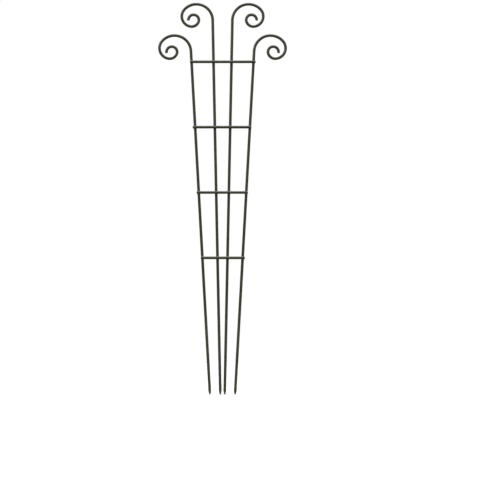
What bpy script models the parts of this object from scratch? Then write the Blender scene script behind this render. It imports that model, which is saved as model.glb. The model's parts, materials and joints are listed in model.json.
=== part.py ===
"""Flat fan trellis for a planter: four wire stems that end in scrolls, welded to four crossbars.

Metres, +Z up, and -Y is the front. The origin is at the soil line, midway between the stems, so what
lies below z = 0 is pushed into the compost. Seen from the front the two inner stems stand taller than
the two outer ones, and every scroll curls away from the middle.
"""

import math
from dataclasses import dataclass

import bmesh
import bpy
from mathutils import Vector

# Wire: stems and crossbars are the same 8 mm steel under 0.4 mm of coating
WIRE_DIAMETER = 0.0088
WIRE_SIDES_RESOLUTION = 4  # bevel_resolution: a section of twelve sides
JOINT_GAP = 0.0003  # between neighbouring solids

# Crossbars
BAR_COUNT = 4
BAR_PITCH = 0.200
LOWEST_BAR_HEIGHT = 0.188
TOP_BAR_HEIGHT = LOWEST_BAR_HEIGHT + (BAR_COUNT - 1) * BAR_PITCH
BAR_OVERHANG = 0.00135  # past the side of the outer stem, with the bar centred
BAR_SHIFTS = (0.0012, -0.0005, -0.0016, 0.0009)  # how far off centre each was welded, lowest first
BAR_END_CHAMFER = 0.0008
BAR_Y = -(WIRE_DIAMETER + JOINT_GAP)

# Legs
BURIED_DEPTH = 0.230
TIP_LENGTH = 0.012
TIP_FLAT_DIAMETER = 0.0040

# Scrolls: each arc's centre-line radius and the degrees it turns, from the straight wire inwards
OUTER_SCROLL = ((0.0505, 136), (0.0324, 127), (0.0227, 75), (0.0163, 212))
INNER_SCROLL = ((0.0499, 136), (0.0314, 127), (0.0224, 75), (0.0161, 207))
SCROLL_STEP = 10  # degrees of turn between two points, at the most
SCROLL_END_CHAMFER = 0.0010
CHAMFERED_END = 0.78  # share of the wire's radius that is left on a chamfered end

# Welds: a squeezed collar round each place where a bar crosses a stem
WELD_RADIUS = 0.0060
WELD_DEPTH = 0.0040  # half its size from front to back
WELD_SEGMENTS = 20
WELD_RINGS = 12
CUTTER_SIDES = 32

GREEN = (0.030, 0.038, 0.021, 1.0)
WELD_GREEN = (0.036, 0.044, 0.026, 1.0)


@dataclass(frozen=True)
class Stem:
    """One bent wire, with its distances from the middle of the trellis."""

    name: str
    side: int  # -1 is the left as seen from the front, +1 the right
    low_offset: float  # at the lowest crossbar
    top_offset: float  # at the top crossbar
    straight_above_top_bar: float
    scroll: tuple  # its arcs

    @property
    def slope(self):
        return self.side * (self.top_offset - self.low_offset) / (TOP_BAR_HEIGHT - LOWEST_BAR_HEIGHT)

    @property
    def lean(self):
        """Turn about +Y that tips the upright wire outwards."""
        return math.atan(self.slope)

    def x_at(self, height):
        return self.side * self.low_offset + self.slope * (height - LOWEST_BAR_HEIGHT)


OUTER = {"low_offset": 0.0617, "top_offset": 0.0950, "straight_above_top_bar": 0.0346, "scroll": OUTER_SCROLL}
INNER = {"low_offset": 0.0153, "top_offset": 0.0276, "straight_above_top_bar": 0.1296, "scroll": INNER_SCROLL}
STEMS = (
    Stem("outer_left", -1, **OUTER),
    Stem("inner_left", -1, **INNER),
    Stem("inner_right", 1, **INNER),
    Stem("outer_right", 1, **OUTER),
)


def bar_height(number):
    """Height of a crossbar's centre line. Crossbar 1 is the lowest."""
    return LOWEST_BAR_HEIGHT + (number - 1) * BAR_PITCH


def clear_scene():
    for old in list(bpy.data.objects):
        bpy.data.objects.remove(old, do_unlink=True)


def new_collection(name):
    collection = bpy.data.collections.new(name)
    bpy.context.scene.collection.children.link(collection)
    return collection


def coated_steel(name, colour, roughness):
    material = bpy.data.materials.new(name)
    material.use_nodes = True
    shader = material.node_tree.nodes["Principled BSDF"]
    shader.inputs["Base Color"].default_value = colour
    shader.inputs["Roughness"].default_value = roughness
    shader.inputs["Metallic"].default_value = 0.0
    return material


def scroll_points(start, side, arcs):
    """Points of the scroll, which sets off upwards from start and curls towards side."""
    points = [start]
    turned = 0.0
    for radius, degrees in arcs:
        steps = math.ceil(degrees / SCROLL_STEP)
        step = math.radians(degrees / steps)
        chord = 2 * radius * math.sin(step / 2)
        for _ in range(steps):
            middle = turned + step / 2
            points.append(points[-1] + chord * Vector((side * math.sin(middle), 0, math.cos(middle))))
            turned += step
    return points


def wire(name, points, shares, material, collection):
    """A round wire through points, where shares scale its radius point by point."""
    curve = bpy.data.curves.new(name, "CURVE")
    curve.dimensions = "3D"
    curve.bevel_depth = WIRE_DIAMETER / 2
    curve.bevel_resolution = WIRE_SIDES_RESOLUTION
    curve.use_fill_caps = True
    spline = curve.splines.new("POLY")
    spline.points.add(len(points) - 1)
    for knot, point, share in zip(spline.points, points, shares):
        knot.co = (*point, 1)
        knot.radius = share
    spline.use_smooth = True
    curve.materials.append(material)
    obj = bpy.data.objects.new(name, curve)
    collection.objects.link(obj)
    return obj


def build_stem(stem, material, collection, frame):
    """Stem wire, upright in its own frame and then leaned: tapered tip, straight leg, scroll."""
    stretch = 1 / math.cos(stem.lean)
    foot = Vector((0, 0, -BURIED_DEPTH * stretch))
    bend_start = Vector((0, 0, (TOP_BAR_HEIGHT + stem.straight_above_top_bar) * stretch))
    scroll = scroll_points(bend_start, stem.side, stem.scroll)
    last_stretch = scroll[-2] - scroll[-1]
    chamfer_start = scroll[-1] + SCROLL_END_CHAMFER * last_stretch.normalized()
    points = [foot, foot + Vector((0, 0, TIP_LENGTH)), *scroll[:-1], chamfer_start, scroll[-1]]
    shares = [1.0] * len(points)
    shares[0] = TIP_FLAT_DIAMETER / WIRE_DIAMETER
    shares[-1] = CHAMFERED_END
    obj = wire(f"stem_{stem.name}", points, shares, material, collection)
    obj.location = (stem.x_at(0), 0, 0)
    obj.rotation_euler = (0, stem.lean, 0)
    obj.parent = frame
    return obj


def build_crossbar(number, material, collection, frame):
    """Straight wire across the front of the stems, cut to reach just past the outer pair."""
    height = bar_height(number)
    outer = STEMS[-1]
    half = outer.x_at(height) + WIRE_DIAMETER / 2 / math.cos(outer.lean) + BAR_OVERHANG
    stations = (-half, -half + BAR_END_CHAMFER, half - BAR_END_CHAMFER, half)
    points = [Vector((x, 0, 0)) for x in stations]
    shares = (CHAMFERED_END, 1.0, 1.0, CHAMFERED_END)
    obj = wire(f"crossbar_{number}", points, shares, material, collection)
    obj.location = (BAR_SHIFTS[number - 1], BAR_Y, height)
    obj.parent = frame
    return obj


def build_cutter(name, length, collection):
    """Cylinder along its own Z, a joint gap larger than the wire that it stands for."""
    mesh = bpy.data.meshes.new(name)
    shape = bmesh.new()
    radius = WIRE_DIAMETER / 2 + JOINT_GAP
    bmesh.ops.create_cone(
        shape, cap_ends=True, segments=CUTTER_SIDES, radius1=radius, radius2=radius, depth=length
    )
    shape.to_mesh(mesh)
    shape.free()
    obj = bpy.data.objects.new(name, mesh)
    obj.hide_render = True
    obj.display_type = "WIRE"
    collection.objects.link(obj)
    return obj


def stem_cutter(stem, collection):
    middle = (LOWEST_BAR_HEIGHT + TOP_BAR_HEIGHT) / 2
    length = TOP_BAR_HEIGHT - LOWEST_BAR_HEIGHT + BAR_PITCH
    obj = build_cutter(f"seat_in_stem_{stem.name}", length, collection)
    obj.location = (stem.x_at(middle), 0, middle)
    obj.rotation_euler = (0, stem.lean, 0)
    return obj


def bar_cutter(number, collection):
    length = 2 * STEMS[-1].top_offset + BAR_PITCH
    obj = build_cutter(f"seat_in_crossbar_{number}", length, collection)
    obj.location = (0, BAR_Y, bar_height(number))
    obj.rotation_euler = (0, math.pi / 2, 0)
    return obj


def build_weld(number, stem, cutters, material, collection, frame):
    """Flattened ball at the crossing, hollowed by both wires to a collar that fills the nook between them."""
    name = f"weld_{number}_{stem.name}"
    mesh = bpy.data.meshes.new(name)
    shape = bmesh.new()
    bmesh.ops.create_uvsphere(
        shape, u_segments=WELD_SEGMENTS, v_segments=WELD_RINGS, radius=WELD_RADIUS
    )
    bmesh.ops.scale(shape, vec=(1, WELD_DEPTH / WELD_RADIUS, 1), verts=shape.verts)
    shape.to_mesh(mesh)
    shape.free()
    mesh.shade_smooth()
    mesh.materials.append(material)
    obj = bpy.data.objects.new(name, mesh)
    for cutter in cutters:
        seat = obj.modifiers.new(cutter.name, "BOOLEAN")
        seat.operation = "DIFFERENCE"
        seat.solver = "EXACT"
        seat.object = cutter
    height = bar_height(number)
    obj.location = (stem.x_at(height), BAR_Y / 2, height)
    obj.parent = frame
    collection.objects.link(obj)
    return obj


def main():
    clear_scene()
    parts = new_collection("fan_trellis")
    helpers = new_collection("weld_cutters")
    frame = bpy.data.objects.new("trellis_frame", None)
    parts.objects.link(frame)

    coating = coated_steel("green_coated_wire", GREEN, 0.45)
    weld_coating = coated_steel("green_coated_weld", WELD_GREEN, 0.55)

    for stem in STEMS:
        build_stem(stem, coating, parts, frame)
    numbers = range(1, BAR_COUNT + 1)
    for number in numbers:
        build_crossbar(number, coating, parts, frame)

    stem_cutters = {stem.name: stem_cutter(stem, helpers) for stem in STEMS}
    for number in numbers:
        bar = bar_cutter(number, helpers)
        for stem in STEMS:
            build_weld(number, stem, (stem_cutters[stem.name], bar), weld_coating, parts, frame)


main()
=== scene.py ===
"""Looks of a flat fan trellis for a planter: four scroll-topped stems, four crossbars and their welds.

Metres, +Z up, -Y is the front. The origin is at the soil line, midway between the stems. Every wire is
round steel under a dark olive-green sprayed coating. The stems lie in one upright plane, the crossbars
lie in another one just in front of it, and a small squeezed collar joins them at each crossing.
"""

import functools
import json
import logging
import math
from collections.abc import Mapping
from dataclasses import dataclass
from enum import Enum
from typing import Any

import bpy
import numpy as np
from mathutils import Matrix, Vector

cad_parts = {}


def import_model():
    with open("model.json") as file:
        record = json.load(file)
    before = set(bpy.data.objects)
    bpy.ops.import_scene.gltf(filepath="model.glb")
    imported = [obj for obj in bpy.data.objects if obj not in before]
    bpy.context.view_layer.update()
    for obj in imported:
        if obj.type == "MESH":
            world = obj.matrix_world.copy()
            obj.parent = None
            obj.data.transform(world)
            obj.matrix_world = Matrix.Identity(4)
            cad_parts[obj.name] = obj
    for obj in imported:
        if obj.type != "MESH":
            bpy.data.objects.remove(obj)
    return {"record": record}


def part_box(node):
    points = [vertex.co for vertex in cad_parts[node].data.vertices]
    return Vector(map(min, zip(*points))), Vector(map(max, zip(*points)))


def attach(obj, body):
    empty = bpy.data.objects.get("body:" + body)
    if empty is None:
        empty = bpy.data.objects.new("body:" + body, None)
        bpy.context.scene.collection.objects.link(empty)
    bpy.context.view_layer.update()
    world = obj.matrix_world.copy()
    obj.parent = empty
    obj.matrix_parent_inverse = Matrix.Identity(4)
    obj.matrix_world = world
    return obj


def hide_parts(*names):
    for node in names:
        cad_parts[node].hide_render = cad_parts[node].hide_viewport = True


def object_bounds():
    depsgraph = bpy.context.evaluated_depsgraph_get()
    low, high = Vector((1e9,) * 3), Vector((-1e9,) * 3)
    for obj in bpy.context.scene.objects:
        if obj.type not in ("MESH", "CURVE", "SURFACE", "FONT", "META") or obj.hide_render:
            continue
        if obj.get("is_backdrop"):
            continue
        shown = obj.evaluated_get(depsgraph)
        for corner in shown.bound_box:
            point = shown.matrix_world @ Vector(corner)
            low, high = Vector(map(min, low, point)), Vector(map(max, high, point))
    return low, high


LOG = logging.getLogger("trellis")
BODY = "root"
BACK = np.array([0.0, 1.0, 0.0])  # square to the plane that every wire lies in, away from the front
PLACE = "place_on_wire"  # attribute: where a point would be if its wire were pulled straight
RUBBING = "rubbing"  # attribute: how much a point gets rubbed, from 0 to 1
SKIN_CLEARANCE = 0.00004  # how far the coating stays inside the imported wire
FLOOR_CLEARANCE = 0.0005  # how far the floor lies below the leg ends
REACH_SAMPLES = 2000  # places along a scroll at which its reach is measured
BARS = (1, 2, 3, 4)  # crossbar 1 is the lowest
BEAD_NUMBER_STEP = 10  # keeps the beads of one crossbar apart from those of the next
NOISE_MIDDLE = 0.5  # about which a noise texture's values lie

Colour = tuple[float, float, float, float]


class Position(Enum):
    """Where a stem stands in the fan."""

    OUTER_LEFT = "outer_left"
    INNER_LEFT = "inner_left"
    INNER_RIGHT = "inner_right"
    OUTER_RIGHT = "outer_right"

    @property
    def side(self) -> int:
        """-1 for a stem left of the middle as seen from the front, +1 for one right of it."""
        return -1 if self.value.endswith("left") else 1

    @property
    def outer(self) -> bool:
        """Whether it is one of the two shorter, outer stems."""
        return self.value.startswith("outer")


class Pressed(Enum):
    """The side on which an electrode pressed a wire, as a turn round the wire's section."""

    BACK = math.pi / 2
    FRONT = -math.pi / 2


# ---------------------------------------------------------------- surfaces


@dataclass(frozen=True)
class Skin:
    """A closed surface: rings of points between two end points.

    rings and place have the shape (rows, columns, 3), and rubbing has (rows, columns). place and rubbing
    are what the finish reads.
    """

    rings: np.ndarray
    start: np.ndarray
    end: np.ndarray
    place: np.ndarray
    rubbing: np.ndarray

    def vertices(self) -> np.ndarray:
        """The start point, the rings one after another, and the end point."""
        return np.vstack([self.start, self.rings.reshape(-1, 3), self.end])

    def faces(self) -> tuple[np.ndarray, np.ndarray]:
        """Joins neighbouring rings with quads and closes both ends with triangles.

        Returns:
            The quads and the triangles, as rows of vertex numbers, all facing outwards.
        """
        rows, columns = self.rubbing.shape
        ring = 1 + np.arange(rows * columns).reshape(rows, columns)
        beside = np.roll(ring, -1, axis=1)
        quads = np.stack([ring[:-1], beside[:-1], beside[1:], ring[1:]], axis=-1).reshape(-1, 4)
        first = np.stack([np.zeros(columns, int), beside[0], ring[0]], axis=-1)
        last = np.stack([np.full(columns, rows * columns + 1), ring[-1], beside[-1]], axis=-1)
        triangles = np.vstack([first, last])
        corners = self.vertices()[np.vstack([quads[:, :3], quads[:, [0, 2, 3]], triangles])]
        inside_out = np.linalg.det(corners).sum() < 0
        return (quads[:, ::-1], triangles[:, ::-1]) if inside_out else (quads, triangles)

    def build(self, name: str, material: bpy.types.Material) -> bpy.types.Object:
        """Makes the surface a mesh object at the origin.

        Args:
            name: the object's name.
            material: its finish.

        Returns:
            The new object, smooth-shaded, with the place and rubbing attributes.
        """
        quads, triangles = self.faces()
        mesh = bpy.data.meshes.new(name)
        mesh.from_pydata(self.vertices().tolist(), [], quads.tolist() + triangles.tolist())
        mesh.polygons.foreach_set("use_smooth", np.ones(len(mesh.polygons), bool))
        place = np.vstack([self.place[0].mean(0), self.place.reshape(-1, 3), self.place[-1].mean(0)])
        rubbing = np.hstack([self.rubbing[0].mean(), self.rubbing.ravel(), self.rubbing[-1].mean()])
        mesh.attributes.new(PLACE, "FLOAT_VECTOR", "POINT").data.foreach_set("vector", place.ravel())
        mesh.attributes.new(RUBBING, "FLOAT", "POINT").data.foreach_set("value", rubbing)
        mesh.materials.append(material)
        mesh.update()
        piece = bpy.data.objects.new(name, mesh)
        bpy.context.scene.collection.objects.link(piece)
        return piece


def stand_in(skin: Skin, node: str, material: bpy.types.Material) -> None:
    """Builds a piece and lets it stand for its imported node.

    Args:
        skin: the piece's surface.
        node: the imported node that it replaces.
        material: its finish.
    """
    piece = skin.build(f"{node}_coated", material)
    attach(piece, BODY)
    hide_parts(node)
    LOG.info("%s: %d faces, for node %s", piece.name, len(piece.data.polygons), node)


# ---------------------------------------------------------------- wires


@dataclass(frozen=True)
class CutEnd:
    """A wire's cut end: a face that the coating has domed slightly, inside a rounded rim."""

    dome: float
    rim: float
    face_rows: int = 4
    rim_rows: int = 8

    def profile(self, radius: float) -> tuple[np.ndarray, np.ndarray]:
        """The end's outline from the middle of its face to the wire's side.

        The face falls away with the square of the distance from its middle, and the rim is a quarter of
        a circle.

        Args:
            radius: the wire's radius where the end begins.

        Returns:
            Depths below the middle of the face, and the radii there.
        """
        share = np.arange(1, self.face_rows + 1) / (self.face_rows + 1)
        turn = np.linspace(0, math.pi / 2, self.rim_rows)
        flat = radius - self.rim
        depths = np.hstack([self.dome * share**2, self.dome + self.rim * (1 - np.cos(turn))])
        return depths, np.hstack([flat * share, flat + self.rim * np.sin(turn)])


@dataclass(frozen=True)
class Wire:
    """What stems and crossbars share: a round coated wire, pressed at its crossings."""

    name: str
    radius: float
    length: float
    crossings: tuple[float, ...]  # distances along the wire
    pressed: Pressed
    number: int  # keeps one wire's pattern from repeating the next one's
    columns: int = 64
    row_step: float = 0.004
    press_depth: float = 0.00030
    press_reach: float = 0.0048  # half the length of the flat that an electrode leaves
    press_rows: int = 33
    press_spread: float = 1.6  # how far the closer rows go from a crossing, in reaches of the flat
    least_facing: float = 0.05  # lowest cosine that the flat's plane is worked out with
    coat_ripple: float = 0.00003
    ripple_pitches: tuple[float, float] = (0.0071, 0.0173)  # metres of wire to a radian of the ripple
    end_rub: float = 0.0022  # distance over which the rubbing fades from a cut end

    def centre_line(self, along: np.ndarray) -> tuple[np.ndarray, np.ndarray]:
        """Points of the centre line at distances along it, and the direction across it in its plane."""
        raise NotImplementedError

    def outline(self) -> tuple[np.ndarray, np.ndarray]:
        """Distances along the wire, rising from end to end, and the wire's radius at each."""
        raise NotImplementedError

    def rubbed(self, along: np.ndarray, turn: np.ndarray) -> np.ndarray:
        """How much each point gets rubbed, from 0 to 1."""
        raise NotImplementedError

    def rows_between(self, low: float, high: float, step: float) -> np.ndarray:
        """Distances between two places on the wire, closer together at the crossings.

        Args:
            low: where the rows begin.
            high: where they end.
            step: the usual distance between two rows.

        Returns:
            The distances in rising order, without low and high themselves.
        """
        even = np.linspace(low, high, math.ceil((high - low) / step) + 1)[1:-1]
        spread = np.linspace(-self.press_spread, self.press_spread, self.press_rows) * self.press_reach
        near = [crossing + spread for crossing in self.crossings]
        rows = np.unique(np.hstack([even, *near]))
        return rows[(rows > low) & (rows < high)]

    def radii(self, along: np.ndarray, radius: np.ndarray, turn: np.ndarray) -> np.ndarray:
        """Radius all over the wire: round, with a faint ripple and a flat at each crossing.

        The ripple is the sum of two sines of the distance and the turn, and takes off up to coat_ripple.
        A flat is the plane at (radius - depth * press) from the centre line, so the section is cut at
        that distance over the cosine of the turn away from the flat's middle. press fades from 1 at the
        crossing to 0 as e to the power of minus the fourth power of the distance.

        Args:
            along: distances along the wire, one for each row.
            radius: the round wire's radius at each row.
            turn: turns round the section, one for each column.

        Returns:
            Radii of the shape (rows, columns).
        """
        close, wide = self.ripple_pitches
        wave = np.sin(along[:, None] / close + 2 * np.sin(turn) + self.number)
        wave = wave + np.sin(along[:, None] / wide - 3 * turn + 2 * self.number)
        size = radius[:, None] * (1 - self.coat_ripple / self.radius * (0.5 + 0.25 * wave))
        nearest = np.min(np.abs(along[:, None] - np.array(self.crossings)), axis=1)
        press = np.exp(-((nearest / self.press_reach) ** 4))
        facing = np.maximum(np.cos(turn - self.pressed.value), self.least_facing)
        return np.minimum(size, (radius - self.press_depth * press)[:, None] / facing)

    def skin(self) -> Skin:
        """Carries the round section along the centre line.

        point = centre + radius * (cos(turn) * across + sin(turn) * back), for each row's centre and
        direction across, and each column's turn.

        Returns:
            The wire's closed surface.
        """
        along, radius = self.outline()
        turn = np.linspace(0, 2 * math.pi, self.columns, endpoint=False)
        centres, across = self.centre_line(along)
        radii = self.radii(along, radius, turn)
        cosine, sine = radii * np.cos(turn), radii * np.sin(turn)
        rings = centres[:, None] + cosine[..., None] * across[:, None] + sine[..., None] * BACK
        distance = np.broadcast_to(along[:, None] + self.number, radii.shape)
        ends, _ = self.centre_line(np.array([0.0, self.length]))
        return Skin(
            rings=rings,
            start=ends[0],
            end=ends[1],
            place=np.stack([distance, cosine, sine], axis=-1),
            rubbing=self.rubbed(along[:, None], turn[None]),
        )

    def build(self, material: bpy.types.Material, slot: str) -> None:
        """Builds the wire and lets it stand for its node."""
        stand_in(self.skin(), self.name, material)


@dataclass(frozen=True)
class Arc:
    """One bend of a scroll."""

    radius: float  # of the wire's centre line
    degrees: float


OUTER_BENDS = (Arc(0.0505, 136), Arc(0.0324, 127), Arc(0.0227, 75), Arc(0.0163, 212))
INNER_BENDS = (Arc(0.0499, 136), Arc(0.0314, 127), Arc(0.0224, 75), Arc(0.0161, 207))


@dataclass(frozen=True)
class Scroll:
    """A curl made of arcs, each tighter than the one before it."""

    arcs: tuple[Arc, ...]
    scale: float = 1.0

    @property
    def length(self) -> float:
        """Length of the wire in the curl."""
        return sum(self.scale * arc.radius * math.radians(arc.degrees) for arc in self.arcs)

    def curve(self, along: np.ndarray, lean: float) -> tuple[np.ndarray, np.ndarray, np.ndarray]:
        """Follows the curl, which sets off at a lean from upright.

        On an arc of radius R the wire gains R * (cos(first heading) - cos(heading)) outwards and
        R * (sin(heading) - sin(first heading)) upwards, and the heading grows by distance / R.

        Args:
            along: distances along the curl.
            lean: the first heading, in radians from upright.

        Returns:
            How far outwards and upwards each point is from the start, and the heading there.
        """
        radius = self.scale * np.array([arc.radius for arc in self.arcs])
        turned = np.radians([arc.degrees for arc in self.arcs])
        starts = np.hstack([0, np.cumsum(radius * turned)])
        headings = lean + np.hstack([0, np.cumsum(turned)])
        outwards = np.hstack([0, np.cumsum(radius * -np.diff(np.cos(headings)))])
        upwards = np.hstack([0, np.cumsum(radius * np.diff(np.sin(headings)))])
        arc = np.clip(np.searchsorted(starts, along, side="right") - 1, 0, len(radius) - 1)
        heading = headings[arc] + (along - starts[arc]) / radius[arc]
        out = outwards[arc] + radius[arc] * (np.cos(headings[arc]) - np.cos(heading))
        return out, upwards[arc] + radius[arc] * (np.sin(heading) - np.sin(headings[arc])), heading


@dataclass(frozen=True, kw_only=True)
class Stem(Wire):
    """An upright of the fan: a blunt leg end, a straight wire that leans outwards, and a scroll."""

    side: int
    foot: np.ndarray
    lean: float  # radians from upright, outwards
    straight: float
    scroll: Scroll
    leg_end: CutEnd = CutEnd(dome=0.0002, rim=0.0006)
    scroll_end: CutEnd = CutEnd(dome=0.0004, rim=0.0011)
    leg_end_radius: float = 0.0020
    taper: float = 0.012
    taper_power: float = 1.25
    taper_rows: int = 10
    scroll_step: float = 0.0008
    leg_rub: float = 0.010  # distance over which the rubbing fades up the leg
    curl_rub: float = 0.42  # rubbing on the outside of the curl
    curl_rub_start: float = 0.03  # distance over which it sets in

    @classmethod
    def from_frame(cls, position: Position, record: Mapping[str, Any], number: int) -> "Stem":
        """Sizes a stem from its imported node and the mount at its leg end.

        The straight length and the scroll's scale follow from the node's top and its outermost side:
        each is where the leg begins, plus the straight part's share, plus the scale times how far the
        scroll reaches that way at full size, plus the wire's radius.

        Args:
            position: which stem.
            record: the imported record.
            number: the stem's number.

        Returns:
            The stem.
        """
        name = f"stem_{position.value}"
        low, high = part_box(name)
        mount = next(m for m in record["mounts"] if m["name"] == f"leg_end_{position.value}")
        foot = np.array(mount["pos_m"], float)
        lean = math.atan2(abs(mount["axis"][0]), -mount["axis"][2])
        wire_radius = (high.y - low.y) / 2
        full_size = Scroll(OUTER_BENDS if position.outer else INNER_BENDS)
        reach = np.linspace(0, full_size.length, REACH_SAMPLES)
        out, up, _ = full_size.curve(reach, lean)
        outermost = high.x if position.side > 0 else -low.x
        room = [high.z - wire_radius - foot[2], outermost - wire_radius - position.side * foot[0]]
        shares = [[math.cos(lean), up.max()], [math.sin(lean), out.max()]]
        straight, scale = np.linalg.solve(shares, room)
        heights = [sum(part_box(f"crossbar_{bar}")[edge].z for edge in (0, 1)) / 2 for bar in BARS]
        scroll = Scroll(full_size.arcs, float(scale))
        return cls(
            name=name,
            radius=wire_radius - SKIN_CLEARANCE,
            length=float(straight) + scroll.length,
            crossings=tuple((height - foot[2]) / math.cos(lean) for height in heights),
            pressed=Pressed.BACK,
            number=number,
            side=position.side,
            foot=foot,
            lean=lean,
            straight=float(straight),
            scroll=scroll,
        )

    def centre_line(self, along: np.ndarray) -> tuple[np.ndarray, np.ndarray]:
        """Follows the straight leg and then the scroll.

        Args:
            along: distances from the leg end.

        Returns:
            Points, and at each one the direction across the wire towards the inside of the curl.
        """
        leg = np.minimum(along, self.straight)
        out, up, heading = self.scroll.curve(np.maximum(along - self.straight, 0), self.lean)
        out, up = out + leg * math.sin(self.lean), up + leg * math.cos(self.lean)
        level = np.zeros_like(along)
        points = self.foot + np.stack([self.side * out, level, up], axis=-1)
        return points, np.stack([self.side * np.cos(heading), level, -np.sin(heading)], axis=-1)

    def outline(self) -> tuple[np.ndarray, np.ndarray]:
        """The blunt leg end, its taper, the even wire and the scroll's cut end.

        The taper's radius is the full one less the missing part times (1 - share of the taper) to a
        power a little over 1, so that it runs softly into the wire.

        Returns:
            Distances along the stem and radii.
        """
        leg_depth, leg_radius = self.leg_end.profile(self.leg_end_radius)
        top_depth, top_radius = self.scroll_end.profile(self.radius)
        share = np.arange(1, self.taper_rows + 1) / self.taper_rows
        missing = self.radius - self.leg_end_radius
        taper_start = leg_depth[-1]
        taper = taper_start + share * (self.taper - taper_start)
        leg = self.rows_between(self.taper, self.straight, self.row_step)
        last = self.length - top_depth[-1]
        curl = self.rows_between(self.straight, last, self.scroll_step)
        along = [leg_depth, taper, leg, [self.straight], curl, (self.length - top_depth)[::-1]]
        tapered = self.radius - missing * (1 - share) ** self.taper_power
        even = np.full(len(leg) + 1 + len(curl), self.radius)
        return np.hstack(along), np.hstack([leg_radius, tapered, even, top_radius[::-1]])

    def rubbed(self, along: np.ndarray, turn: np.ndarray) -> np.ndarray:
        """Both cut ends, and the outside of the curl.

        Args:
            along: distances along the stem, one for each row.
            turn: turns round the section, one for each column.

        Returns:
            How much each point gets rubbed, from 0 to 1.
        """
        ends = np.exp(-along / self.leg_rub) + np.exp(-(self.length - along) / self.end_rub)
        in_curl = np.clip((along - self.straight) / self.curl_rub_start, 0, 1)
        return np.clip(ends + self.curl_rub * in_curl * np.maximum(-np.cos(turn), 0), 0, 1)


@dataclass(frozen=True, kw_only=True)
class Crossbar(Wire):
    """A level wire across the front of all four stems, cut off square at both ends."""

    start: np.ndarray
    row_step: float = 0.003
    end_cut: CutEnd = CutEnd(dome=0.0004, rim=0.0009)
    edge_bead: float = 0.00012  # extra coating that gathers behind a cut edge
    bead_place: float = 0.0008  # from the edge to the thickest of it
    bead_width: float = 0.0009
    settled_length: float = 0.004  # stretch behind each edge that gets closer rows
    settled_rows: int = 8

    @classmethod
    def from_frame(cls, number: int) -> "Crossbar":
        """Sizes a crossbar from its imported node, with its crossings at its four welds.

        Args:
            number: which crossbar, counted from the lowest.

        Returns:
            The crossbar.
        """
        name = f"crossbar_{number}"
        low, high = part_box(name)
        welds = [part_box(f"weld_{number}_{position.value}") for position in Position]
        return cls(
            name=name,
            radius=(high.z - low.z) / 2 - SKIN_CLEARANCE,
            length=high.x - low.x,
            crossings=tuple((weld[0].x + weld[1].x) / 2 - low.x for weld in welds),
            pressed=Pressed.FRONT,
            number=number + len(Position),
            start=np.array([low.x, (low.y + high.y) / 2, (low.z + high.z) / 2]),
        )

    def centre_line(self, along: np.ndarray) -> tuple[np.ndarray, np.ndarray]:
        """A straight line towards +X, and the upward direction across it."""
        points = self.start + along[:, None] * np.array([1.0, 0.0, 0.0])
        return points, np.broadcast_to([0.0, 0.0, 1.0], points.shape)

    def outline(self) -> tuple[np.ndarray, np.ndarray]:
        """The even wire between two cut ends, each followed by a faint bead of coating.

        The bead is a bell curve of the distance from the cut edge.

        Returns:
            Distances along the crossbar and radii.
        """
        depth, end_radius = self.end_cut.profile(self.radius - self.edge_bead)
        settled = depth[-1] + np.linspace(0, self.settled_length, self.settled_rows + 1)[1:]
        near_end = np.hstack([depth, settled])
        middle = self.rows_between(settled[-1], self.length - settled[-1], self.row_step)
        along = np.hstack([near_end, middle, (self.length - near_end)[::-1]])
        from_end = np.minimum(along, self.length - along) - depth[-1]
        bead = np.exp(-(((from_end - self.bead_place) / self.bead_width) ** 2))
        side = self.radius - self.edge_bead * (1 - bead)
        radius = np.where(from_end > 0, side, 0)
        radius[: len(depth)], radius[-len(depth) :] = end_radius, end_radius[::-1]
        return along, radius

    def rubbed(self, along: np.ndarray, turn: np.ndarray) -> np.ndarray:
        """The two cut ends."""
        from_end = np.minimum(along, self.length - along)
        return np.broadcast_to(np.exp(-from_end / self.end_rub), (along.size, turn.size))


# ---------------------------------------------------------------- welds


def filled(first: np.ndarray, second: np.ndarray, width: float, toe: float = 0.0) -> np.ndarray:
    """The lower of two heights, with the corner between them filled.

    gap is the width less the difference between the heights. The lower height is reduced by
    toe * gap + (1/2 - toe) * gap squared / (2 * width). Where the gap is below 0 the square is left out,
    so that the filling runs straight on under the surface that it meets.

    Args:
        first: one height.
        second: the other.
        width: how wide the filling is.
        toe: the slope at the filling's edges, from 0 to a half.

    Returns:
        The filled height.
    """
    gap = width - np.abs(first - second)
    curved = (0.5 - toe) * np.maximum(gap, 0) ** 2 / (2 * width)
    return np.minimum(first, second) - toe * gap - curved


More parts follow.
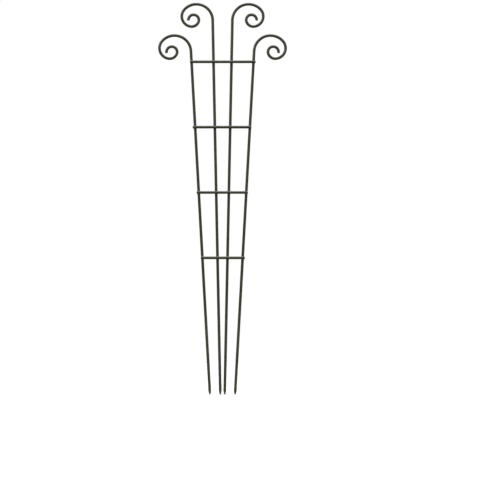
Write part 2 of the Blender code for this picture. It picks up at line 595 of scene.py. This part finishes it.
@dataclass(frozen=True)
class WeldBead:
    """The squeezed collar where a crossbar meets a stem, with coating run into its corners."""

    name: str
    middle: np.ndarray
    stem_radius: float
    stem_depth: float  # from the bead's middle back to the stem's centre line
    stem_slope: float  # sideways for each metre upwards
    bar_radius: float
    bar_depth: float  # from the bead's middle forward to the bar's centre line
    bar_ends: tuple[float, float]  # where the bar ends, sideways from the bead's middle
    number: int
    fillet: float = 0.0027  # width of the filling between the two wires
    toe: float = 0.30  # slope at which the filling meets them
    collar_radius: float = 0.0049
    collar_thickness: float = 0.0012  # half of it
    collar_fillet: float = 0.0006
    lobes: tuple[int, int] = (2, 5)  # waves round the collar's edge
    lobe_sizes: tuple[float, float] = (0.045, 0.027)  # shares of the collar's radius
    lobe_shift: float = 2.3  # how much faster the second wave turns from one bead to the next
    envelope: tuple[float, float, float] = (0.0066, 0.0044, 0.0066)  # half of its size each way
    search: float = 0.00726  # length of the rays along which the surface is looked for
    halvings: int = 26
    rows: int = 66
    columns: int = 108

    @classmethod
    def from_frame(cls, bar: Crossbar, stem: Stem, position: Position) -> "WeldBead":
        """Places a bead midway between a crossbar's back and a stem's front, at their weld's node.

        Args:
            bar: the crossbar.
            stem: the stem.
            position: which stem it is.

        Returns:
            The bead.
        """
        name = f"{bar.name.replace('crossbar', 'weld')}_{position.value}"
        low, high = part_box(name)
        stem_front, bar_back = -stem.radius, bar.start[1] + bar.radius
        middle = np.array([(low.x + high.x) / 2, (stem_front + bar_back) / 2, bar.start[2]])
        return cls(
            name=name,
            middle=middle,
            stem_radius=stem.radius,
            stem_depth=-middle[1],
            stem_slope=stem.side * math.tan(stem.lean),
            bar_radius=bar.radius,
            bar_depth=middle[1] - bar.start[1],
            bar_ends=(bar.start[0] - middle[0], bar.start[0] + bar.length - middle[0]),
            number=BEAD_NUMBER_STEP * bar.number + stem.number,
        )

    def height(self, offset: np.ndarray) -> np.ndarray:
        """Height of points above the bead's surface, below 0 inside it.

        The stem, the crossbar, which stops at its own ends, and a lens-shaped collar between them are
        joined by filling the corners between them, and the whole is kept inside an ellipsoid whose
        surface lies inside the wires. The collar's edge waves a little, because the metal was squeezed
        out unevenly.

        Args:
            offset: offsets from the bead's middle, of the shape (..., 3).

        Returns:
            The heights, of the shape (...).
        """
        x, y, z = offset[..., 0], offset[..., 1], offset[..., 2]
        sideways = (x - self.stem_slope * z) * math.cos(math.atan(self.stem_slope))
        stem = np.hypot(sideways, y - self.stem_depth) - self.stem_radius
        past_end = np.maximum(self.bar_ends[0] - x, x - self.bar_ends[1])
        bar = np.maximum(np.hypot(z, y + self.bar_depth) - self.bar_radius, past_end)
        turn = np.arctan2(z, x)
        phases = self.number, self.lobe_shift * self.number
        waves = [
            size * np.sin(lobes * turn + phase)
            for lobes, size, phase in zip(self.lobes, self.lobe_sizes, phases, strict=True)
        ]
        edge = np.hypot(x, z) / (1 + sum(waves))
        lens = np.hypot(edge / self.collar_radius, y / self.collar_thickness)
        collar = (lens - 1) * self.collar_thickness
        wires = filled(stem, bar, self.fillet, self.toe)
        joined = filled(wires, collar, self.collar_fillet)
        shell = (np.linalg.norm(offset / np.array(self.envelope), axis=-1) - 1) * min(self.envelope)
        return np.maximum(joined, shell)

    def skin(self) -> Skin:
        """Finds the surface along a fan of directions from the bead's middle.

        A row is a latitude from the front pole to the back pole, and a column is a turn round the
        front-to-back axis. Along each direction the distance is halved in on until the height is 0.

        Returns:
            The bead's closed surface.
        """
        tilt = np.linspace(0, math.pi, self.rows + 2)[:, None]
        turn = np.linspace(0, 2 * math.pi, self.columns, endpoint=False)[None]
        shape = (self.rows + 2, self.columns)
        backwards = np.broadcast_to(-np.cos(tilt), shape)
        way = np.stack([np.sin(tilt) * np.cos(turn), backwards, np.sin(tilt) * np.sin(turn)], axis=-1)
        inside, outside = np.zeros(shape), np.full(shape, self.search)
        for _ in range(self.halvings):
            halfway = (inside + outside) / 2
            within = self.height(halfway[..., None] * way) < 0
            inside, outside = np.where(within, halfway, inside), np.where(within, outside, halfway)
        points = self.middle + inside[..., None] * way
        grid = points[1:-1]
        return Skin(
            rings=grid,
            start=points[0, 0],
            end=points[-1, 0],
            place=grid + np.array([self.number, 0.0, 0.0]),
            rubbing=np.zeros(grid.shape[:2]),
        )

    def build(self, material: bpy.types.Material, slot: str) -> None:
        """Builds the bead and lets it stand for its node."""
        stand_in(self.skin(), self.name, material)


# ---------------------------------------------------------------- finishes


class Kind(Enum):
    """What a node group's socket carries."""

    COLOUR = "NodeSocketColor"
    VALUE = "NodeSocketFloat"
    VECTOR = "NodeSocketVector"


@dataclass(frozen=True)
class Graph:
    """A node tree, with short ways of adding and joining nodes."""

    tree: bpy.types.NodeTree

    def add(self, kind: str, inputs: Mapping[Any, Any] | None = None, **settings: Any) -> bpy.types.Node:
        """Adds a node.

        Args:
            kind: its type name, without the leading ShaderNode.
            inputs: a socket or a plain value for each input, by name or number.
            settings: the node's own properties.

        Returns:
            The new node.
        """
        node = self.tree.nodes.new(f"ShaderNode{kind}")
        for name, value in settings.items():
            setattr(node, name, value)
        for key, value in (inputs or {}).items():
            if isinstance(value, bpy.types.NodeSocket):
                self.tree.links.new(value, node.inputs[key])
            else:
                node.inputs[key].default_value = value
        return node

    def maths(self, operation: str, *values: Any) -> bpy.types.NodeSocket:
        """One step of arithmetic on sockets or numbers."""
        return self.add("Math", dict(enumerate(values)), operation=operation).outputs[0]

    def scaled(self, vector: Any, x: float, y: float, z: float) -> bpy.types.NodeSocket:
        """A vector with each of its parts multiplied."""
        return self.add("VectorMath", {0: vector, 1: (x, y, z)}, operation="MULTIPLY").outputs[0]

    def mixed(self, share: Any, low: Any, high: Any) -> bpy.types.NodeSocket:
        """The low colour where share is 0 and the high one where it is 1."""
        return self.add("Mix", {0: share, 6: low, 7: high}, data_type="RGBA").outputs[2]

    def noise(self, vector: Any, frequency: Any, detail: float = 2.0) -> bpy.types.NodeSocket:
        """Cloudy values about a half, with frequency features to the metre."""
        return self.add("TexNoise", {"Vector": vector, "Scale": frequency, "Detail": detail}).outputs[0]

    def step(self, value: Any, low: float, high: float) -> bpy.types.NodeSocket:
        """0 up to low, 1 from high on, and smooth between."""
        inputs = {"Value": value, "From Min": low, "From Max": high}
        return self.add("MapRange", inputs, interpolation_type="SMOOTHSTEP").outputs[0]


class Effect:
    """A shader node group that a finish places with its own values."""

    def __init__(self, name: str, inputs: Mapping[str, Kind], output: str, kind: Kind) -> None:
        """Makes the empty group.

        Args:
            name: the group's name.
            inputs: what each input carries, by name.
            output: the name of its one output.
            kind: what the output carries.
        """
        self.tree = bpy.data.node_groups.new(name, "ShaderNodeTree")
        for label, carried in inputs.items():
            self.tree.interface.new_socket(label, in_out="INPUT", socket_type=carried.value)
        self.tree.interface.new_socket(output, in_out="OUTPUT", socket_type=kind.value)
        self.graph = Graph(self.tree)
        self.inputs = self.tree.nodes.new("NodeGroupInput").outputs
        self.result = self.tree.nodes.new("NodeGroupOutput").inputs[0]

    def gives(self, socket: bpy.types.NodeSocket) -> bpy.types.NodeTree:
        """Sends a socket to the output and hands over the finished group."""
        self.tree.links.new(socket, self.result)
        return self.tree


@functools.cache
def orange_peel() -> bpy.types.NodeTree:
    """Height of a sprayed coating: shallow dimples with a finer grain on them.

    Returns:
        The group, whose Height varies about a half.
    """
    inputs = {"Place": Kind.VECTOR, "Dimples": Kind.VALUE, "Grain": Kind.VALUE}
    effect = Effect("orange_peel", inputs, "Height", Kind.VALUE)
    graph, given = effect.graph, effect.inputs
    grain_share = 0.2
    dimples = graph.noise(given["Place"], given["Dimples"], detail=1.0)
    dimples = graph.maths("MULTIPLY", dimples, 1 - grain_share)
    grain = graph.noise(given["Place"], given["Grain"], detail=2.0)
    grain = graph.maths("MULTIPLY", grain, grain_share)
    return effect.gives(graph.maths("ADD", dimples, grain))


@functools.cache
def colour_drift() -> bpy.types.NodeTree:
    """Colour of a coating of uneven thickness, with faint lengthwise streaks.

    Returns:
        The group, whose Colour output lies between its Colour and Deep inputs.
    """
    inputs = {"Place": Kind.VECTOR, "Colour": Kind.COLOUR, "Deep": Kind.COLOUR, "Clouds": Kind.VALUE}
    effect = Effect("colour_drift", inputs, "Colour", Kind.COLOUR)
    graph, given = effect.graph, effect.inputs
    streak_share, streak_squeeze = 0.45, 0.06
    clouds = graph.noise(given["Place"], given["Clouds"], detail=3.0)
    drawn_out = graph.scaled(given["Place"], streak_squeeze, 1, 1)
    streaks = graph.noise(drawn_out, frequency=900.0, detail=2.0)
    clouds = graph.maths("MULTIPLY", clouds, 1 - streak_share)
    both = graph.maths("MULTIPLY_ADD", streaks, streak_share, clouds)
    share = graph.step(both, low=0.36, high=0.64)
    return effect.gives(graph.mixed(share, given["Colour"], given["Deep"]))


@functools.cache
def chalk_and_painted_top_light() -> bpy.types.NodeTree:
    """Chalk that rain and sun leave on the coating, together with painted light from above: mask of the
    parts that face upwards, patchily, which the finish turns pale.

    Returns:
        The group, whose Mask runs from 0 to about its Amount.
    """
    inputs = {"Place": Kind.VECTOR, "Facing": Kind.VECTOR, "Amount": Kind.VALUE}
    effect = Effect("chalk_and_painted_top_light", inputs, "Mask", Kind.VALUE)
    graph, given = effect.graph, effect.inputs
    patchiness, least_patch = 0.9, 0.25
    upward = graph.add("SeparateXYZ", {0: given["Facing"]}).outputs[2]
    patches = graph.noise(given["Place"], frequency=170.0, detail=3.0)
    patches = graph.maths("MULTIPLY_ADD", patches, patchiness, least_patch)
    mask = graph.maths("MULTIPLY", graph.step(upward, low=0.15, high=0.95), patches)
    return effect.gives(graph.maths("MULTIPLY", mask, given["Amount"]))


@functools.cache
def rubbed_through() -> bpy.types.NodeTree:
    """Where handling has polished the coating thin: mask with a ragged edge.

    Returns:
        The group, whose Mask runs from 0 to its Amount.
    """
    inputs = {"Place": Kind.VECTOR, "Rubbing": Kind.VALUE, "Amount": Kind.VALUE}
    effect = Effect("rubbed_through", inputs, "Mask", Kind.VALUE)
    graph, given = effect.graph, effect.inputs
    raggedness = 0.9
    ragged = graph.noise(given["Place"], frequency=700.0, detail=4.0)
    ragged = graph.maths("SUBTRACT", ragged, NOISE_MIDDLE)
    level = graph.maths("MULTIPLY_ADD", ragged, raggedness, given["Rubbing"])
    mask = graph.step(level, low=0.40, high=0.85)
    return effect.gives(graph.maths("MULTIPLY", mask, given["Amount"]))


@functools.cache
def soil_film() -> bpy.types.NodeTree:
    """Dried compost: patchy below the soil line, and splashes that thin out above it.

    Returns:
        The group, whose Mask runs from 0 to its Amount.
    """
    inputs = {"Place": Kind.VECTOR, "Position": Kind.VECTOR, "Amount": Kind.VALUE}
    effect = Effect("soil_film", inputs, "Mask", Kind.VALUE)
    graph, given = effect.graph, effect.inputs
    edge_raggedness = 0.03  # metres
    patchiness = 0.75
    thinning = 1.6  # of the splashes, for each metre above the soil line
    splash_strength = 0.5
    height = graph.add("SeparateXYZ", {0: given["Position"]}).outputs[2]
    ragged = graph.noise(given["Place"], frequency=120.0, detail=3.0)
    ragged = graph.maths("SUBTRACT", ragged, NOISE_MIDDLE)
    edge = graph.maths("MULTIPLY_ADD", ragged, edge_raggedness, height)
    buried = graph.maths("SUBTRACT", 1.0, graph.step(edge, low=-0.006, high=0.004))
    patches = graph.noise(given["Place"], frequency=260.0, detail=4.0)
    patches = graph.step(patches, low=0.30, high=0.62)
    patches = graph.maths("MULTIPLY_ADD", patches, patchiness, 1 - patchiness)
    film = graph.maths("MULTIPLY", buried, patches)
    specks = graph.noise(given["Place"], frequency=520.0, detail=2.0)
    specks = graph.maths("MULTIPLY_ADD", height, -thinning, specks)
    splashes = graph.step(specks, low=0.46, high=0.60)
    splashes = graph.maths("MULTIPLY", splashes, splash_strength)
    both = graph.maths("MAXIMUM", film, splashes)
    return effect.gives(graph.maths("MULTIPLY", both, given["Amount"]))


@dataclass(frozen=True)
class Coating:
    """A sprayed satin coating, how garden use has aged it, and painted light on its upward faces."""

    name: str
    slot: str
    colour: Colour
    deep: Colour
    roughness: float
    gloss: float  # weight of the clear, smoother top of the coating
    peel_depth: float
    clouds: float  # to the metre
    # amount of chalk on upward faces, which also paints the light falling on them from above
    chalk_and_top_light: float
    rub: float
    soil: float
    # pale tone of the upward faces: partly chalk, partly painted light from above
    chalk_and_top_light_colour: Colour = (0.105, 0.120, 0.090, 1.0)
    rub_colour: Colour = (0.095, 0.105, 0.078, 1.0)
    soil_colour: Colour = (0.085, 0.058, 0.036, 1.0)
    dimples: float = 620.0  # to the metre, as is the grain
    grain: float = 2600.0
    gloss_roughness: float = 0.22
    chalk_dulls: float = 0.22  # roughness that full chalk adds
    soil_dulls: float = 0.40  # and full soil
    rub_polishes: float = 0.10  # roughness that full rubbing takes off
    soil_height: float = 1.5  # thickness of the soil film, in depths of the orange peel

    def material(self) -> bpy.types.Material:
        """Mixes the finish.

        Returns:
            The new material, whose nodes read the place and rubbing attributes of its piece.
        """
        material = bpy.data.materials.new(self.name)
        material.use_nodes = True
        material.node_tree.nodes.clear()
        graph = Graph(material.node_tree)
        place = graph.add("Attribute", attribute_name=PLACE).outputs["Vector"]
        rubbing = graph.add("Attribute", attribute_name=RUBBING).outputs["Fac"]
        facing = graph.add("NewGeometry").outputs["Normal"]
        position = graph.add("TexCoord").outputs["Object"]

        def effect(group: bpy.types.NodeTree, **inputs: Any) -> bpy.types.NodeSocket:
            """Places a group with its own values."""
            return graph.add("Group", {"Place": place, **inputs}, node_tree=group).outputs[0]

        green = effect(colour_drift(), Colour=self.colour, Deep=self.deep, Clouds=self.clouds)
        # mask of the upward faces, patchy: chalk plus painted top light
        chalk_and_top_light = effect(chalk_and_painted_top_light(), Facing=facing, Amount=self.chalk_and_top_light)
        rub = effect(rubbed_through(), Rubbing=rubbing, Amount=self.rub)
        soil = effect(soil_film(), Position=position, Amount=self.soil)
        peel = effect(orange_peel(), Dimples=self.dimples, Grain=self.grain)
        # upward faces turn pale here: partly chalk, partly painted light from above
        colour = graph.mixed(rub, graph.mixed(chalk_and_top_light, green, self.chalk_and_top_light_colour), self.rub_colour)
        dull = graph.maths("MULTIPLY_ADD", soil, self.soil_dulls, self.roughness)
        dull = graph.maths("MULTIPLY_ADD", chalk_and_top_light, self.chalk_dulls, dull)
        height = graph.maths("MULTIPLY_ADD", soil, self.soil_height, peel)
        bump = graph.add("Bump", {"Strength": 1.0, "Distance": self.peel_depth, "Height": height})
        shader = graph.add(
            "BsdfPrincipled",
            {
                "Base Color": graph.mixed(soil, colour, self.soil_colour),
                "Roughness": graph.maths("MULTIPLY_ADD", rub, -self.rub_polishes, dull),
                "Coat Weight": self.gloss,
                "Coat Roughness": self.gloss_roughness,
                "Normal": bump.outputs[0],
            },
        )
        graph.add("OutputMaterial", {"Surface": shader.outputs[0]})
        return material


class Finish(Enum):
    """The finishes on the trellis."""

    WIRE = Coating(
        name="olive_wire_coating",
        slot="wire_coating",
        colour=(0.0205, 0.0305, 0.0060, 1.0),
        deep=(0.0155, 0.0235, 0.0042, 1.0),
        roughness=0.42,
        gloss=0.10,
        peel_depth=0.00006,
        clouds=55.0,
        chalk_and_top_light=0.34,
        rub=0.85,
        soil=0.40,
    )
    WELD = Coating(
        name="olive_pooled_coating",
        slot="weld_coating",
        colour=(0.0220, 0.0325, 0.0070, 1.0),
        deep=(0.0160, 0.0240, 0.0045, 1.0),
        roughness=0.40,
        gloss=0.14,
        peel_depth=0.00006,
        clouds=240.0,
        chalk_and_top_light=0.30,
        rub=0.0,
        soil=0.40,
    )


# ---------------------------------------------------------------- the trellis and its studio


@dataclass(frozen=True)
class Trellis:
    """The whole fan: stems, crossbars and a bead at each crossing."""

    stems: Mapping[Position, Stem]
    bars: tuple[Crossbar, ...]

    @classmethod
    def from_frame(cls, record: Mapping[str, Any]) -> "Trellis":
        """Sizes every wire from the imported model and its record."""
        stems = {
            position: Stem.from_frame(position, record, number) for number, position in enumerate(Position)
        }
        return cls(stems=stems, bars=tuple(Crossbar.from_frame(number) for number in BARS))

    def build(self) -> None:
        """Builds and dresses every piece."""
        wire, weld = Finish.WIRE.value, Finish.WELD.value
        wire_material, weld_material = wire.material(), weld.material()
        for piece in (*self.stems.values(), *self.bars):
            piece.build(wire_material, wire.slot)
        for bar in self.bars:
            for position, stem in self.stems.items():
                WeldBead.from_frame(bar, stem, position).build(weld_material, weld.slot)


@dataclass(frozen=True)
class Floor:
    """A pale floor that fades out into the white surroundings."""

    level: float
    radius: float = 1.8
    solid: float = 0.35  # share of the radius up to which it doesn't fade
    rings: int = 24
    columns: int = 96
    colour: Colour = (0.86, 0.86, 0.85, 1.0)
    bounced: Colour = (0.27, 0.27, 0.26, 1.0)  # what it lights the trellis with

    def material(self) -> bpy.types.Material:
        """A matt pale paint that turns clear towards the floor's edge.

        Returns:
            The new material.
        """
        material = bpy.data.materials.new("pale_floor")
        material.use_nodes = True
        material.node_tree.nodes.clear()
        graph = Graph(material.node_tree)
        position = graph.add("TexCoord").outputs["Object"]
        flat = graph.scaled(position, 1, 1, 0)
        distance = graph.add("VectorMath", {0: flat}, operation="LENGTH").outputs["Value"]
        fade = graph.step(distance, self.solid * self.radius, self.radius)
        by_camera = graph.add("LightPath").outputs["Is Camera Ray"]
        paint = graph.add("BsdfDiffuse", {"Color": graph.mixed(by_camera, self.bounced, self.colour)})
        clear = graph.add("BsdfTransparent")
        mix = graph.add("MixShader", {0: fade, 1: paint.outputs[0], 2: clear.outputs[0]})
        graph.add("OutputMaterial", {"Surface": mix.outputs[0]})
        return material

    def build(self) -> None:
        """A flat disc: distance from the middle by turn round it, closed at the middle by triangles."""
        distance = np.linspace(0, self.radius, self.rings + 1)[1:, None]
        turn = np.linspace(0, 2 * math.pi, self.columns, endpoint=False)[None]
        level = np.full((self.rings, self.columns), self.level)
        grid = np.stack([distance * np.cos(turn), distance * np.sin(turn), level], axis=-1)
        index = 1 + np.arange(self.rings * self.columns).reshape(self.rings, self.columns)
        beside = np.roll(index, -1, axis=1)
        quads = np.stack([index[:-1], index[1:], beside[1:], beside[:-1]], axis=-1).reshape(-1, 4)
        middle = np.stack([np.zeros(self.columns, int), index[0], beside[0]], axis=-1)
        mesh = bpy.data.meshes.new("floor")
        points = np.vstack([[0, 0, self.level], grid.reshape(-1, 3)])
        mesh.from_pydata(points.tolist(), [], quads.tolist() + middle.tolist())
        mesh.materials.append(self.material())
        floor = bpy.data.objects.new("floor", mesh)
        bpy.context.scene.collection.objects.link(floor)
        floor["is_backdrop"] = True


@dataclass(frozen=True)
class SoftBox:
    """A large soft lamp."""

    name: str
    place: tuple[float, float, float]
    size: float
    watts: float
    aim: tuple[float, float, float] = (0.0, 0.0, 0.4)

    def build(self) -> None:
        """Hangs the lamp and turns it towards its aim, unseen by the camera."""
        data = bpy.data.lights.new(self.name, "AREA")
        data.shape, data.size, data.energy = "DISK", self.size, self.watts
        lamp = bpy.data.objects.new(self.name, data)
        lamp.location = self.place
        lamp.rotation_euler = (Vector(self.aim) - Vector(self.place)).to_track_quat("-Z", "Y").to_euler()
        lamp.visible_camera = False
        bpy.context.scene.collection.objects.link(lamp)


@dataclass(frozen=True)
class Surroundings:
    """White surroundings to look at, which light the trellis more from above than from below."""

    seen: float = 1.0
    above: float = 0.85
    level: float = 0.34
    below: float = 0.06
    brightest_from: float = 0.9  # upward part of a direction from which the light is the strongest
    darkest_to: float = -0.7  # and down to which it weakens

    def build(self) -> None:
        """Sets up the world."""
        world = bpy.data.worlds.new("white_surroundings")
        world.use_nodes = True
        world.node_tree.nodes.clear()
        graph = Graph(world.node_tree)
        upward = graph.add("SeparateXYZ", {0: graph.add("TexCoord").outputs["Generated"]}).outputs[2]
        lower = graph.step(upward, self.darkest_to, 0.0)
        lower = graph.maths("MULTIPLY", lower, self.level - self.below)
        higher = graph.step(upward, 0.0, self.brightest_from)
        higher = graph.maths("MULTIPLY", higher, self.above - self.level)
        strength = graph.maths("ADD", graph.maths("ADD", lower, higher), self.below)
        white = (1, 1, 1, 1)
        light = graph.add("Background", {"Color": white, "Strength": strength})
        seen = graph.add("Background", {"Color": white, "Strength": self.seen})
        by_camera = graph.add("LightPath").outputs["Is Camera Ray"]
        mix = graph.add("MixShader", {0: by_camera, 1: light.outputs[0], 2: seen.outputs[0]})
        graph.add("OutputWorld", {"Surface": mix.outputs[0]})
        bpy.context.scene.world = world


@dataclass(frozen=True)
class Camera:
    """A long lens, level with the lower part of the lattice and a little right of its middle."""

    place: tuple[float, float, float] = (0.0536, -3.678, 0.1631)
    level: float = 90.0  # degrees by which a camera is turned up from looking straight down
    tilt: float = 0.325  # degrees upwards from there
    lens: float = 90.0
    sensor: float = 36.0
    shift: float = 0.040

    def build(self) -> None:
        """Sets up the camera and makes it the scene's."""
        data = bpy.data.cameras.new("camera")
        data.lens, data.sensor_width, data.shift_y = self.lens, self.sensor, self.shift
        camera = bpy.data.objects.new("camera", data)
        camera.location = self.place
        camera.rotation_euler = (math.radians(self.level + self.tilt), 0, 0)
        bpy.context.scene.collection.objects.link(camera)
        bpy.context.scene.camera = camera


@dataclass(frozen=True)
class Studio:
    """Camera, pale floor, white surroundings and soft lamps."""

    floor_level: float
    lamps: tuple[SoftBox, ...] = (
        SoftBox("key", place=(-2.4, -2.2, 2.6), size=1.6, watts=75.0),
        SoftBox("top", place=(0.2, -0.3, 3.2), size=1.8, watts=60.0),
        SoftBox("fill", place=(2.6, -2.6, 0.9), size=2.0, watts=12.0),
    )

    def build(self) -> None:
        """Sets everything up, with colours shown as they are."""
        bpy.context.scene.view_settings.view_transform = "Standard"
        Camera().build()
        Surroundings().build()
        Floor(self.floor_level).build()
        for lamp in self.lamps:
            lamp.build()


def corners(bounds: tuple[Vector, Vector]) -> list[list[float]]:
    """A box's two corners as plain lists."""
    return [list(corner) for corner in bounds]


def main() -> None:
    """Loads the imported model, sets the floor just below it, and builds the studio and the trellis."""
    logging.basicConfig(level=logging.INFO, format="%(name)s: %(message)s")
    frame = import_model()
    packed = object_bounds()
    Studio(floor_level=packed[0].z - FLOOR_CLEARANCE).build()
    Trellis.from_frame(frame["record"]).build()


if __name__ == "__main__":
    main()
